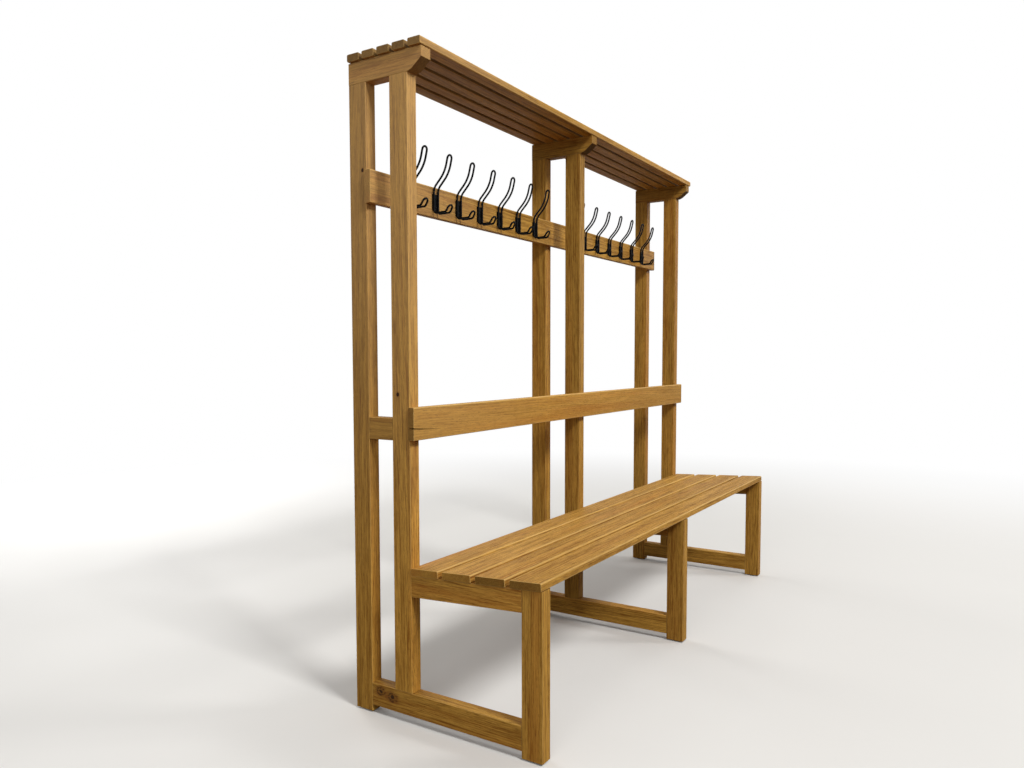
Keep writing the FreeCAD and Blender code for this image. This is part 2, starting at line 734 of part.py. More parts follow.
# Where the groups' pieces stand
frame_places = [-size("frame_reach"), 0, size("frame_reach")]
hook_places = [size(name) for name in HOOK_PLACES]
forward = FreeCAD.Vector(0, 1, 0)
tilt = math.atan(size("seat_slope"))
seat_up = FreeCAD.Vector(0, -math.sin(tilt), math.cos(tilt))
seat_forward = FreeCAD.Vector(0, math.cos(tilt), math.sin(tilt))
seat_origin = FreeCAD.Vector(0, size("seat_rear"), size("seat_rear_height"))


def stand_in_seat(across, along, depth, direction):
    """A place under the seat: so far along its slope, so deep under the slats' tops."""
    spot = seat_origin + seat_forward * size(along) - seat_up * size(depth)
    return stand(across, spot.y, spot.z).multiply(axis_turn(direction))


seat_screws = [
    stand_in_seat(across, screw, "seat_head_depth", -seat_up)
    for across in frame_places
    for screw in SEAT_SCREWS]
shelf_screws = [
    stand(across, size(f"shelf_screw_{number + 1}"), size("shelf_head_height"))
    for across in frame_places
    for number in range(SHELF_SLATS)]
rail_screws = [
    stand(across, size("post_counterbore_depth"), size(height)).multiply(axis_turn(-forward))
    for across in frame_places
    for height in RAIL_SCREW_HEIGHTS]
dowels = [
    stand(across, size("inner_front"), size(height)).multiply(axis_turn(forward))
    for across in frame_places
    for height in DOWEL_HEIGHTS]
dowels += [stand_in_seat(across, "leg_dowel", "seat_thickness", seat_up) for across in frame_places]
hook_screws = [
    stand(across, size("rail_face") + size("plate_thickness"), size(height)).multiply(axis_turn(forward))
    for across in hook_places
    for height in HOOK_SCREW_HEIGHTS]
glides = [
    stand(across, size(line), 0)
    for across in frame_places
    for line in ("rear_glide_line", "front_glide_line")]
plates = [stand(across, size("rail_face"), size("plate_top")) for across in hook_places]

sub_parts += [
    make_group("seat_slat_screws", wood_screw, seat_screws),
    make_group("shelf_slat_screws", wood_screw, shelf_screws),
    make_group("hook_rail_screws", wood_screw, rail_screws),
    make_group("dowels", dowel, dowels),
    make_group("hook_screws", hook_screw, hook_screws),
    make_group("foot_glides", glide, glides),
    make_group("hook_plates", plate, plates)]

wire_shape = make_wire_shape()
for number, across in enumerate(hook_places, 1):
    hook = doc.addObject("Part::Feature", f"hook_{number:02d}")
    hook.Label = f"hook_{number:02d}"
    hook.Shape = wire_shape.copy()
    hook.Placement = stand(across, size("rail_face"), size("hook_rail_top"))
    sub_parts.append(hook)
doc.recompute()

# Nothing is written unless every object is sound and every feature did its work
for item in doc.Objects:
    if "Invalid" in item.State or "Error" in item.State:
        raise RuntimeError(f"{item.Name} failed: {item.State}")
    base = getattr(item, "BaseFeature", None)
    if item.TypeId == "PartDesign::Pocket" and not item.Shape.Volume < base.Shape.Volume:
        raise RuntimeError(f"{item.Name} cuts nothing")
    if item.TypeId == "PartDesign::Pad" and base and not item.Shape.Volume > base.Shape.Volume:
        raise RuntimeError(f"{item.Name} adds nothing")
for item in sub_parts:
    if item.Shape.isNull() or not item.Shape.isValid():
        raise RuntimeError(f"{item.Label} has no sound shape")

os.makedirs("parts", exist_ok=True)
for item in sub_parts:
    item.Shape.exportStep(f"parts/{item.Label}.step")
print(len(sub_parts), "sub-parts written")
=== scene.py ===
import math
import random
from functools import partial

import bmesh
import bpy
from mathutils import Matrix, Vector


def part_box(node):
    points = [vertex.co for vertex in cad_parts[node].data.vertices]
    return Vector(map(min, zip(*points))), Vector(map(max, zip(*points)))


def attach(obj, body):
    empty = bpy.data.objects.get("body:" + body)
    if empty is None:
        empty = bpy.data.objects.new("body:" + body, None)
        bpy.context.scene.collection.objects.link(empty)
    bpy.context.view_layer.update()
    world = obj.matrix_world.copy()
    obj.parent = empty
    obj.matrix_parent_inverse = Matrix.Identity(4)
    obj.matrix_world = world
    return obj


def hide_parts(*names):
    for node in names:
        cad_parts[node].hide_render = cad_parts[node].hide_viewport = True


bl_info = {
    "name": "Slatted Bench",
    "version": (1, 0, 0),
    "blender": (4, 5, 0),
    "location": "View3D > Sidebar > Bench",
    "description": "Dresses the packed bench with eased oak timber, wire hooks and their fixings",
    "category": "Object",
}

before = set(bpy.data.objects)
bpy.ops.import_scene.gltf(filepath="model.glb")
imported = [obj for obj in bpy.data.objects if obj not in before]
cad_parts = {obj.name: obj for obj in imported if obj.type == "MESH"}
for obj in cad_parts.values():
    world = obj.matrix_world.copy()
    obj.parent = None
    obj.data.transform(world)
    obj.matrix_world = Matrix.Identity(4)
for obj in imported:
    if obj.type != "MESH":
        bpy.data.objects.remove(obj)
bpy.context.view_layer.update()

SIDES = ("left", "middle", "right")
FRAME_PIECES = ("rear_post", "front_post", "leg", "bottom_rail", "seat_rail", "spacer", "shelf_bearer")
ALONG = {"X": Vector((1, 0, 0)), "Y": Vector((0, 1, 0)), "Z": Vector((0, 0, 1))}
FORWARD = Vector((0, -1, 0))
DOWN = Vector((0, 0, -1))
WIRE_DIAMETER = 0.006
# The hole for a seat screw's head starts this far below the screw's middle, and goes this deep
SEAT_BORE_START = 0.0475
SEAT_BORE_DEPTH = 0.030
# Corners that are closer than this are made one
MERGE = 0.00001
# Faces that meet at less than this angle are shaded as one round
SMOOTH_ANGLE = math.radians(40)


def numbered(start):
    """The nodes whose names are this start and a number, in order."""
    return [name for name in sorted(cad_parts) if name.removeprefix(start).isdigit()]


# Both rows of slats start at the rear
SEAT_SLATS = numbered("seat_slat_")
SHELF_SLATS = numbered("shelf_slat_")
HOOKS = numbered("hook_")


def seat_normal():
    """The way the seat faces, read from the largest face of a seat slat."""
    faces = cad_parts[SEAT_SLATS[0]].data.polygons
    top = max((face for face in faces if face.normal.z > 0.9), key=lambda face: face.area)
    return top.normal.copy()


SEAT_NORMAL = seat_normal()
SEAT_TILT = math.atan2(SEAT_NORMAL.y, SEAT_NORMAL.z)
SEAT_SLOPE = math.tan(SEAT_TILT)


def number_property(label, about, default, **more):
    return bpy.props.FloatProperty(name=label, description=about, default=default, **more)


def vector_property(label, about, default, **more):
    return bpy.props.FloatVectorProperty(
        name=label, description=about, default=default, size=len(default), **more)


length_property = partial(number_property, min=0, unit="LENGTH", precision=4)
share_property = partial(number_property, min=0, max=1, subtype="FACTOR")
power_property = partial(number_property, min=0, unit="POWER")
angle_property = partial(number_property, subtype="ANGLE")
colour_property = partial(vector_property, min=0, max=1, subtype="COLOR")


def plain(*shades):
    """A colour as it is seen on screen, from 0 to 255, as the linear colour that shaders take."""
    return tuple(
        shade / 255 / 12.92 if shade / 255 <= 0.04045 else ((shade / 255 + 0.055) / 1.055) ** 2.4
        for shade in shades)


class BenchTimber(bpy.types.PropertyGroup):
    """Sizes and colours of the oak."""
    frame_rounding: length_property("Frame rounding", "Rounding of the frames' long edges", 0.0020)
    board_rounding: length_property("Board rounding", "Rounding of the boards' long edges", 0.0034)
    frame_end_rounding: length_property("Frame ends", "Rounding round the frames' ends", 0.0008)
    board_end_rounding: length_property("Board ends", "Rounding round the boards' ends", 0.0012)
    nose_front: length_property("Nose front", "Height left at the front of a shelf bearer", 0.028)
    nose_run: length_property("Nose run", "How far back a bearer's slanted nose runs", 0.038)
    nose_softness: length_property("Nose softness", "Rounding where the nose meets the underside", 0.012)
    counterbore: length_property("Counterbore", "Diameter of the holes that screw heads sit in", 0.012)
    shelf_bore_depth: length_property("Shelf bore depth", "Depth of those holes in the shelf", 0.004)
    split_length: length_property("Split length", "Length of the drying split in the backrest", 0.121)
    split_width: length_property("Split width", "Width of that split at the board's end", 0.0034)
    split_height: length_property("Split height", "Height of that split over the low edge", 0.0325)
    split_fall: length_property("Split fall", "How far that split falls along its length", 0.009)
    # How far the eased edges are lightened, partly for worn finish and partly as a painted highlight
    frame_wear: share_property("Frame wear", "How far the frames' edges are rubbed", 0.35)
    board_wear: share_property("Board wear", "How far the boards' edges are rubbed", 1.0)
    light_oak: colour_property("Light oak", "Colour between the growth rings", plain(202, 153, 68))
    dark_oak: colour_property("Dark oak", "Colour of the growth rings and fibres", plain(124, 80, 22))
    red_oak: colour_property("Red oak", "Warm cast of some of the grain", plain(176, 106, 36))
    pore_brown: colour_property("Pore brown", "Colour in the pores", plain(88, 53, 18))
    knot_brown: colour_property("Knot brown", "Colour of the dark rings in knots", plain(36, 21, 9))
    halo_brown: colour_property("Halo brown", "Colour in and round the knots", plain(112, 62, 24))
    # Worn finish and painted highlight: the pale colour of the eased edges
    worn_oak: colour_property("Worn oak", "Colour of the rubbed edges", plain(224, 184, 112))
    # Painted sheen: the pale colour that the left end takes near its top, where light glances off it
    faded_oak: colour_property(
        "Faded oak", "Colour that the left end fades to near its top", plain(192, 161, 124))


class BenchMetal(bpy.types.PropertyGroup):
    """Sizes and colours of the hooks, fixings and glides."""
    plate_corner: length_property("Plate corner", "Rounding of a plate's four corners", 0.003)
    plate_rim: length_property("Plate rim", "Rounding of a plate's front rim", 0.0005)
    weld_length: length_property("Weld length", "Length of a weld between wire and plate", 0.011)
    weld_width: length_property("Weld width", "Width of such a weld", 0.0034)
    hook_head: length_property("Hook screw head", "Diameter of a hook screw's head", 0.008)
    hook_head_height: length_property("Hook head height", "Height of a hook screw's head", 0.0026)
    hook_shank: length_property("Hook screw shank", "Diameter of a hook screw's shank", 0.004)
    hook_socket: length_property("Hook screw socket", "Width of a hook screw's socket", 0.003)
    wood_head: length_property("Wood screw head", "Diameter of a wood screw's head", 0.010)
    wood_head_height: length_property("Wood head height", "Height of a wood screw's head", 0.0035)
    wood_shank: length_property("Wood screw shank", "Diameter of a wood screw's shank", 0.005)
    wood_socket: length_property("Wood screw socket", "Width of a wood screw's socket", 0.004)
    screw_point: length_property("Screw point", "Length of a screw's point", 0.004)
    socket_depth: length_property("Socket depth", "Depth of a screw's socket", 0.002)
    glide_rim: length_property("Glide rim", "Rounding of a glide's rim", 0.0024)
    glide_height: length_property("Glide height", "Height of a glide without its pin", 0.004)
    glide_pin: length_property("Glide pin", "Diameter of a glide's pin", 0.004)
    coat_black: colour_property("Coat black", "Powder coat on hooks and plates", plain(10, 10, 11))
    zinc: colour_property("Zinc", "Plating on the wood screws", plain(190, 190, 186))
    glide_black: colour_property("Glide black", "Plastic of the foot glides", plain(36, 33, 31))


class BenchStage(bpy.types.PropertyGroup):
    """Floor, light and camera."""
    floor_colour: colour_property("Floor", "Colour of the pale floor", plain(232, 230, 226))
    bounce_colour: colour_property(
        "Bounce", "Colour that the floor throws back at the bench", plain(86, 62, 42))
    floor_clear: length_property("Clear floor", "How far out the floor starts to fade to white", 1.9)
    floor_end: length_property("Floor end", "How far out the floor is all white", 5.5)
    left_power: power_property("Left power", "Soft light at the front left", 425)
    right_power: power_property("Right power", "Soft light at the front right", 225)
    side_power: power_property("Side power", "Soft light at the left end", 50)
    back_power: power_property("Back power", "Soft light behind", 130)
    end_power: power_property("End power", "Soft light at the right end", 32)
    sky_colour: colour_property("Sky", "Colour of the even light from all round", (1, 0.985, 0.96))
    sky_strength: number_property("Sky strength", "Strength of that even light", 0.25, min=0)
    camera_place: vector_property(
        "Camera place", "Where the camera stands", (-2.58898, -1.22121, 0.99115),
        subtype="TRANSLATION", unit="LENGTH")
    camera_yaw: angle_property(
        "Camera yaw", "Turn of the view from +X towards +Y", math.radians(32.578))
    camera_dip: angle_property("Camera dip", "How far the view looks down", math.radians(3.377))
    camera_roll: angle_property("Camera roll", "Lean of the view", math.radians(-0.115))
    camera_lens: number_property("Camera lens", "Focal length in millimetres", 27.58, min=1)
    camera_shift: vector_property(
        "Camera shift", "Shift of the view to the right and up, in picture widths", (0.0060, 0.0183))


class Value:
    """A shader socket that takes part in sums; every sum adds a Math node to its finish."""

    def __init__(self, finish, socket):
        self.finish = finish
        self.socket = socket

    def sum(self, operation, first, second):
        return self.finish.node("ShaderNodeMath", {"operation": operation}, {0: first, 1: second})

    def __add__(self, other):
        return self.sum("ADD", self, other)

    __radd__ = __add__

    def __sub__(self, other):
        return self.sum("SUBTRACT", self, other)

    def __mul__(self, other):
        return self.sum("MULTIPLY", self, other)

    def __truediv__(self, other):
        return self.sum("DIVIDE", self, other)

    def __rtruediv__(self, other):
        return self.sum("DIVIDE", other, self)

    def __pow__(self, other):
        return self.sum("POWER", self, other)


class Finish:
    """One material: its nodes, and the principled shader that they feed."""

    def __init__(self, name):
        self.material = bpy.data.materials.new(name)
        self.material.use_nodes = True
        self.tree = self.material.node_tree
        self.shader = next(node for node in self.tree.nodes if node.type == "BSDF_PRINCIPLED")

    def fill(self, socket, value):
        if isinstance(value, Value):
            self.tree.links.new(value.socket, socket)
        elif socket.type == "RGBA" and len(value) == 3:
            socket.default_value = (*value, 1)
        else:
            socket.default_value = value

    def node(self, kind, settings=None, sockets=None, output=0):
        """Adds a node: its settings first, then the values or links of its sockets."""
        made = self.tree.nodes.new(kind)
        for key, value in (settings or {}).items():
            if key == "stops":
                ramp = made.color_ramp.elements
                while len(ramp) < len(value):
                    ramp.new(1)
                for element, (place, shade) in zip(ramp, value):
                    element.position = place
                    element.color = (shade, shade, shade, 1)
            else:
                setattr(made, key, value)
        for key, value in (sockets or {}).items():
            self.fill(made.inputs[key], value)
        return Value(self, made.outputs[output])

    def shade(self, **sockets):
        """Feeds the principled shader; base_color is its Base Color, and so on."""
        for key, value in sockets.items():
            self.fill(self.shader.inputs[key.replace("_", " ").title().replace("Ior", "IOR")], value)

    def mix(self, factor, first, second, blend="MIX"):
        settings = {"data_type": "RGBA", "blend_type": blend}
        return self.node("ShaderNodeMix", settings, {0: factor, 6: first, 7: second}, 2)

    def blend(self, factor, first, second):
        """Mixes two shaders."""
        return self.node("ShaderNodeMixShader", None, {0: factor, 1: first, 2: second})

    def place(self):
        """Where a point is on the bench."""
        return self.node("ShaderNodeTexCoord", None, None, "Object")

    def attribute(self, name, output="Fac"):
        return self.node("ShaderNodeAttribute", {"attribute_name": name}, None, output)

    def parts(self, vector):
        """The three coordinates of a vector."""
        made = self.node("ShaderNodeSeparateXYZ", None, {0: vector}).socket.node
        return [Value(self, output) for output in made.outputs]

    def stretch(self, vector, scale):
        return self.node("ShaderNodeVectorMath", {"operation": "MULTIPLY"}, {0: vector, 1: scale})

    def noise(self, vector, scale, detail, roughness=0.5):
        sockets = {
            "Vector": self.stretch(vector, scale), "Scale": 1, "Detail": detail, "Roughness": roughness}
        return self.node("ShaderNodeTexNoise", None, sockets, "Fac")

    def ramp(self, value, *stops):
        return self.node("ShaderNodeValToRGB", {"stops": stops}, {0: value}, "Color")

    def step(self, value, start, end):
        """A soft step from 0 at start to 1 at end."""
        sockets = {"Value": value, 1: start, 2: end, 3: 0, 4: 1}
        return self.node("ShaderNodeMapRange", {"interpolation_type": "SMOOTHSTEP"}, sockets)

    def bump(self, height, distance, strength):
        sockets = {"Height": height, "Distance": distance, "Strength": strength}
        return self.node("ShaderNodeBump", None, sockets)


# A timber's name is its node's name and this ending
OAK = "_oak"
# How each timber's grain runs: its origin, its three directions, its place in the log and its lean
GRAIN = {}
# Knots seen on the timber: piece, place, radius and the dark core's share of it
KNOTS = (
    ("left_bottom_rail", (-0.990, 0.212, 0.067), 0.012, 0.4),
    ("left_bottom_rail", (-0.990, 0.171, 0.059), 0.013, 0.4),
    ("left_rear_post", (-0.990, 0.257, 1.492), 0.0040, 0.9),
    ("left_front_post", (-0.990, 0.141, 0.891), 0.0042, 0.9),
)
# Timbers with a lightness of their own: about 0 is dark and 1 is light. The middle front post and the
# middle and right shelf bearers are darkened as painted shade, for shadow that falls on them
TONES_AND_SHADE = {
    "left_front_post": 1, "left_rear_post": 0.25, "left_shelf_bearer": 1, "left_seat_rail": 1,
    "left_bottom_rail": 0.1, "left_leg": 0.5, "left_spacer": 0.1, "middle_front_post": -0.3,
    "middle_rear_post": 0.3, "middle_shelf_bearer": -0.4, "middle_leg": 0.2, "right_front_post": 0.2,
    "right_rear_post": 0.2, "right_shelf_bearer": -0.4, "backrest": 0.75,
}
# Timbers whose figure is calmer than most, as a share of the usual contrast
CALM = {"backrest": 0.5, "left_rear_post": 0.8, "left_spacer": 0.7}
# Timbers whose end grain is paler than most, as a share of the usual darkness; on the shelf bearers and
# the two rear seat slats the paleness is painted light, for ends that light falls on
PALE_ENDS = {
    **{f"{side}_shelf_bearer": 0.2 for side in SIDES}, "hook_rail": 0.2, "seat_slat_1": 0.3,
    "seat_slat_2": 0.5,
}
# How much of the figure's contrast is lost on end grain
CALM_ENDS = 0.6
# A slanted face belongs to an eased edge if it is narrower than this
EASED_WIDTH = 0.003
# Width of a growth ring
RING_WIDTH = 0.0046


def end_cut(face, along):
    """How far a face is cut across the grain."""
    return max(0, abs(face.normal.dot(along)) * 2 - 1)


def lay_grain(piece, axis, number, wear, dust_and_shade=None):
    """Gives a timber its own grain: places through a log, lightness, dull faces and lightened edges.

    The eased edges are lightened by the given share, partly for worn finish and partly as a painted
    highlight. The test given for painted shade picks faces darkened as if shade fell on them, between or
    under parts. Elsewhere the end grain is darker than the long faces."""
    draw = random.Random(number)
    corners = [vertex.co.copy() for vertex in piece.data.vertices]
    centre = sum(corners, Vector()) / len(corners)
    along = ALONG[axis]
    width = ALONG["Z"] if axis != "Z" else ALONG["Y"]
    depth = along.cross(width)
    # Each timber is sawn from a place of its own in the log, and leans a little to the grain
    reach = draw.uniform(0.03, 0.11)
    turn = draw.uniform(0, 2 * math.pi)
    shift = Vector((number * 3.7, reach * math.cos(turn), reach * math.sin(turn)))
    lean = Vector((0, draw.uniform(-0.02, 0.02), draw.uniform(-0.02, 0.02)))
    node = piece.name.removesuffix(OAK)
    GRAIN[node] = (centre, along, width, depth, shift, lean)
    shade = TONES_AND_SHADE.get(node, draw.uniform(0, 1))
    marks = {"tone": [], "figure": [], "dull": [], "rubbed": []}
    for face in piece.data.polygons:
        square = max(abs(face.normal.dot(way)) for way in (along, width, depth))
        longest = max((corners[first] - corners[second]).length for first, second in face.edge_keys)
        marks["tone"].append(shade)
        marks["figure"].append(CALM.get(node, 1) * (1 - CALM_ENDS * end_cut(face, along)))
        # Painted shade: faces that the test picks, in the gaps between shelf slats and under the
        # bearers' noses, get the full dull mark as if shade fell there; other faces get the end grain's
        # own darkness
        dark = dust_and_shade and dust_and_shade(face)
        marks["dull"].append(1 if dark else PALE_ENDS.get(node, 1) * end_cut(face, along))
        # Eased edges are lightened: partly worn finish, partly a painted highlight where they catch the
        # light
        marks["rubbed"].append(wear if square < 0.99 and face.area < longest * EASED_WIDTH else 0)
    # Adding an attribute unsettles the others, so each is filled before the next is added
    attributes = piece.data.attributes
    for key, values in marks.items():
        attributes.new(key, "FLOAT", "FACE").data.foreach_set("value", values)
    places = [value for corner in corners for value in grain_place(node, corner)]
    attributes.new("grain", "FLOAT_VECTOR", "POINT").data.foreach_set("vector", places)


def grain_place(name, point):
    """Where a point of a timber is in the log that its grain comes from."""
    centre, along, width, depth, shift, lean = GRAIN[name]
    apart = Vector(point) - centre
    run = apart.dot(along)
    return Vector((run, apart.dot(width), apart.dot(depth))) + shift + lean * run


def fill_oak(oak):
    """Oiled oak: growth rings about a leaning pith, streaks, pores, knots, dark ends, worn edges with a
    painted highlight, painted shade and a painted sheen.
    """
    timber = bpy.context.scene.bench_timber
    grain = oak.attribute("grain", "Vector")
    tone, lively, dull, rubbed = (oak.attribute(name) for name in ("tone", "figure", "dull", "rubbed"))

    # Distance from a pith that wanders
    across, deep = oak.parts(grain)[1:]
    drift = oak.noise(grain, (0.9, 5, 5), 2) - 0.5
    sway = oak.noise(grain, (1.9, 9, 9), 2) - 0.5
    wobble = oak.noise(grain, (6, 70, 70), 3) - 0.5
    across = across + drift * 0.034 + wobble * 0.0024
    deep = deep + sway * 0.026
    radius = (across * across + deep * deep) ** 0.5

    # Knots, with the rings led round them
    knot = halo = 0
    bend = oak.noise(grain, (70, 150, 150), 3, 0.6) - 0.5
    broken = oak.step(oak.noise(grain, (130, 210, 210), 2), 0.38, 0.56)
    for name, place, size, core in KNOTS:
        apart = oak.node(
            "ShaderNodeVectorMath", {"operation": "SUBTRACT"}, {0: grain, 1: grain_place(name, place)})
        squeezed = oak.stretch(apart, (0.75 / size, 1 / size, 1 / size))
        far = oak.node("ShaderNodeVectorMath", {"operation": "LENGTH"}, {0: squeezed}, "Value")
        radius = radius + size * 0.9 / (1 + far * far)
        far = far + bend * 0.9
        edge = oak.step(far, 1.1, 0.9) * oak.step(far, 0.5, 0.8) * broken
        knot = oak.step(far, core * 1.25, core * 0.7) + edge * 0.8 + knot
        halo = oak.step(far, 1.9, 0.8) + halo

    # Rings, streaks and pores, from 0 to 1
    ring = oak.node("ShaderNodeMath", {"operation": "FRACT"}, {0: radius / RING_WIDTH})
    early = oak.ramp(ring, (0, 1), (0.16, 0.85), (0.42, 0.25), (0.8, 0.12), (1, 0.8))
    outward = oak.node("ShaderNodeCombineXYZ", None, {0: radius})
    band = oak.step(oak.noise(outward, (75, 1, 1), 3), 0.3, 0.7)
    broad = oak.step(oak.noise(grain, (1.1, 42, 42), 3, 0.55), 0.32, 0.68)
    streak = oak.step(oak.noise(grain, (3, 150, 150), 3, 0.6), 0.36, 0.64)
    thread = oak.step(oak.noise(grain, (6, 330, 330), 3, 0.6), 0.36, 0.64)
    fibre = oak.step(oak.noise(grain, (20, 760, 760), 3, 0.7), 0.34, 0.66)
    dash = oak.step(oak.noise(grain, (17, 210, 210), 2, 0.6), 0.42, 0.64)
    cloud = oak.step(oak.noise(grain, (1.3, 8, 8), 2), 0.3, 0.7)
    warmth = oak.step(oak.noise(grain, (0.8, 26, 26), 2), 0.45, 0.75)
    pore = oak.step(oak.noise(grain, (55, 1300, 1300), 1), 0.57, 0.66) * (early * 0.7 + 0.3)

    # Colour: the figure first, then the painted sheen, the worn edges with their painted highlight, each
    # timber's lightness with painted shade on three of them, and the knots
    figure = (
        early * 0.26 + band * 0.24 + broad * 0.16 + streak * 0.36 + dash * 0.34 + thread * 0.34
        + fibre * 0.24 - 0.91)
    colour = oak.mix(figure * lively + 0.37, timber.light_oak, timber.dark_oak)
    colour = oak.mix(warmth * 0.35, colour, timber.red_oak)
    colour = oak.mix(pore * 0.8, colour, timber.pore_brown)
    left, _, height = oak.parts(oak.place())
    # Painted sheen: the left end is paled towards its top as if light glanced off it
    painted_sheen = oak.step(height, 0.2, 1.7) * oak.step(left, -0.2, -0.9)
    colour = oak.mix(painted_sheen * 0.33, colour, timber.faded_oak)
    # The eased edges lightened to a pale colour: partly worn finish, partly a painted highlight
    colour = oak.mix(rubbed * (0.35 + streak * 0.35), colour, timber.worn_oak)
    # Each timber's lightness sets the shade here, and on three timbers it is painted shade; the dull
    # mark darkens end grain and puts painted shade in gaps and under noses
    shade = 0.82 + tone * 0.24 + cloud * 0.14 - dull * 0.46
    grey = oak.node("ShaderNodeCombineXYZ", None, {0: shade, 1: shade, 2: shade})
    colour = oak.mix(1, colour, grey, "MULTIPLY")
    colour = oak.mix(halo * 0.6, colour, timber.halo_brown)
    colour = oak.mix(knot * 0.9, colour, timber.knot_brown)
    oak.shade(
        base_color=colour, specular_ior_level=0.10,
        roughness=0.56 + pore * 0.16 + streak * 0.08 + dull * 0.16,
        normal=oak.bump(fibre * 0.25 - pore * 0.9 - dash * 0.4 - early * 0.2 - knot * 0.6, 0.00035, 0.6))


def fill_coat(coat):
    """Black powder coat with a fine orange peel."""
    metal = bpy.context.scene.bench_metal
    place = coat.place()
    peel = coat.noise(place, (900, 900, 900), 2)
    rubbed = coat.noise(place, (60, 60, 60), 3)
    worn = tuple(channel * 1.9 for channel in metal.coat_black)
    coat.shade(
        base_color=coat.mix(coat.step(rubbed, 0.45, 0.75), metal.coat_black, worn),
        specular_ior_level=0.07, roughness=0.40 + rubbed * 0.16 + peel * 0.06,
        normal=coat.bump(peel, 0.00008, 0.5))


def fill_zinc(zinc):
    """Zinc plated steel with a faint bloom."""
    metal = bpy.context.scene.bench_metal
    bloom = zinc.noise(zinc.place(), (350, 350, 350), 3)
    dull = tuple(channel * 0.7 for channel in metal.zinc)
    zinc.shade(
        base_color=zinc.mix(zinc.step(bloom, 0.4, 0.7), metal.zinc, dull),
        metallic=1, roughness=0.26 + bloom * 0.2, normal=zinc.bump(bloom, 0.00004, 0.4))


def fill_plastic(plastic):
    """Moulded black plastic with grey scuffs."""
    metal = bpy.context.scene.bench_metal
    place = plastic.place()
    grit = plastic.noise(place, (700, 700, 700), 3)
    scuff = plastic.noise(place, (120, 120, 400), 3)
    dust_and_shade = tuple(channel * 2.5 for channel in metal.glide_black)
    plastic.shade(
        base_color=plastic.mix(plastic.step(scuff, 0.48, 0.75), metal.glide_black, dust_and_shade),
        roughness=0.42 + scuff * 0.22, normal=plastic.bump(grit, 0.0001, 0.5))


def fill_beech(beech):
    """Bare beech for the hidden dowels: short dark flecks on pale wood."""
    fleck = beech.step(beech.noise(beech.place(), (900, 160, 900), 2), 0.55, 0.7)
    pale, brown = plain(204, 167, 124), plain(160, 116, 76)
    beech.shade(
        base_color=beech.mix(fleck, pale, brown), roughness=0.55 + fleck * 0.15,
        normal=beech.bump(fleck, 0.0001, 0.4))


FINISHES = {
    "oiled_oak": fill_oak, "black_powder_coat": fill_coat, "zinc_plate": fill_zinc,
    "glide_plastic": fill_plastic, "bare_beech": fill_beech,
}


def finish(name):
    """A material of the bench, made at its first use."""
    if name not in bpy.data.materials:
        FINISHES[name](Finish(name))
    return bpy.data.materials[name]


def middle_of(box):
    return (box[0] + box[1]) / 2


def choose(*pieces):
    """Selects these pieces only, and makes the first one active."""
    bpy.ops.object.select_all(action="DESELECT")
    for piece in pieces:
        piece.select_set(True)
    bpy.context.view_layer.objects.active = pieces[0]


def start_cube(name, low, high, tilt=0):
    """A cube from corner to corner, turned about X by tilt, with its place in its mesh."""
    low, high = Vector(low), Vector(high)
    bpy.ops.object.select_all(action="DESELECT")
    bpy.ops.mesh.primitive_cube_add(size=1, location=(low + high) / 2, rotation=(tilt, 0, 0))
    piece = bpy.context.object
    piece.name = name
    piece.data.name = name
    piece.scale = high - low
    bpy.ops.object.transform_apply(location=True, rotation=True, scale=True)
    return piece


def pick(piece, kind, wanted):
    """Selects the vertices or edges of the piece in edit mode that pass a test."""
    bpy.ops.mesh.select_mode(type={"verts": "VERT", "edges": "EDGE"}[kind])
    bpy.ops.mesh.select_all(action="DESELECT")
    shape = bmesh.from_edit_mesh(piece.data)
    for item in getattr(shape, kind):
        if wanted(item):
            item.select_set(True)
    bmesh.update_edit_mesh(piece.data)


def edge_line(edge):
    return (edge.verts[1].co - edge.verts[0].co).normalized()


def ease(piece, along, rounding, end_rounding):
    """Rounds a timber's long edges, and its ends a little."""
    bpy.ops.object.mode_set(mode="EDIT")
    pick(piece, "edges", lambda edge: abs(edge_line(edge).dot(along)) > 0.9)
    bpy.ops.mesh.bevel(offset=rounding, segments=3, affect="EDGES")
    pick(piece, "edges", lambda edge: len(edge.link_faces) == 2 and any(
        abs(face.normal.dot(along)) > 0.9 for face in edge.link_faces) and any(
        abs(face.normal.dot(along)) < 0.4 for face in edge.link_faces))
    bpy.ops.mesh.bevel(offset=end_rounding, segments=2, affect="EDGES")
    bpy.ops.object.mode_set(mode="OBJECT")


def bore(piece, spots, direction, diameter, depth):
    """Cuts round holes into a timber: each spot is on its surface and direction points into it."""
    for spot in spots:
        bpy.ops.object.select_all(action="DESELECT")
        turn = direction.to_track_quat("Z", "Y").to_euler()
        bpy.ops.mesh.primitive_cylinder_add(
            vertices=32, radius=diameter / 2, depth=2 * depth, location=spot, rotation=turn)
        cut(piece, bpy.context.object)


def cut(piece, cutter, operation="DIFFERENCE"):
    """Takes one solid out of a piece, or joins it to the piece."""
    choose(piece)
    hole = piece.modifiers.new("hole", "BOOLEAN")
    hole.operation = operation
    hole.solver = "EXACT"
    hole.object = cutter
    bpy.ops.object.modifier_apply(modifier=hole.name)
    bpy.data.objects.remove(cutter)


def dress_timber(piece):
    """Finish, smooth eased edges, and the node that the timber stands for."""
    piece.data.materials.clear()
    piece.data.materials.append(finish("oiled_oak"))
    choose(piece)
    bpy.ops.object.shade_smooth_by_angle(angle=SMOOTH_ANGLE)
    flat = piece.modifiers.new("flat faces", "WEIGHTED_NORMAL")
    flat.keep_sharp = True
    bpy.ops.object.modifier_apply(modifier=flat.name)
    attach(piece, "root")
    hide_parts(piece.name.removesuffix(OAK))


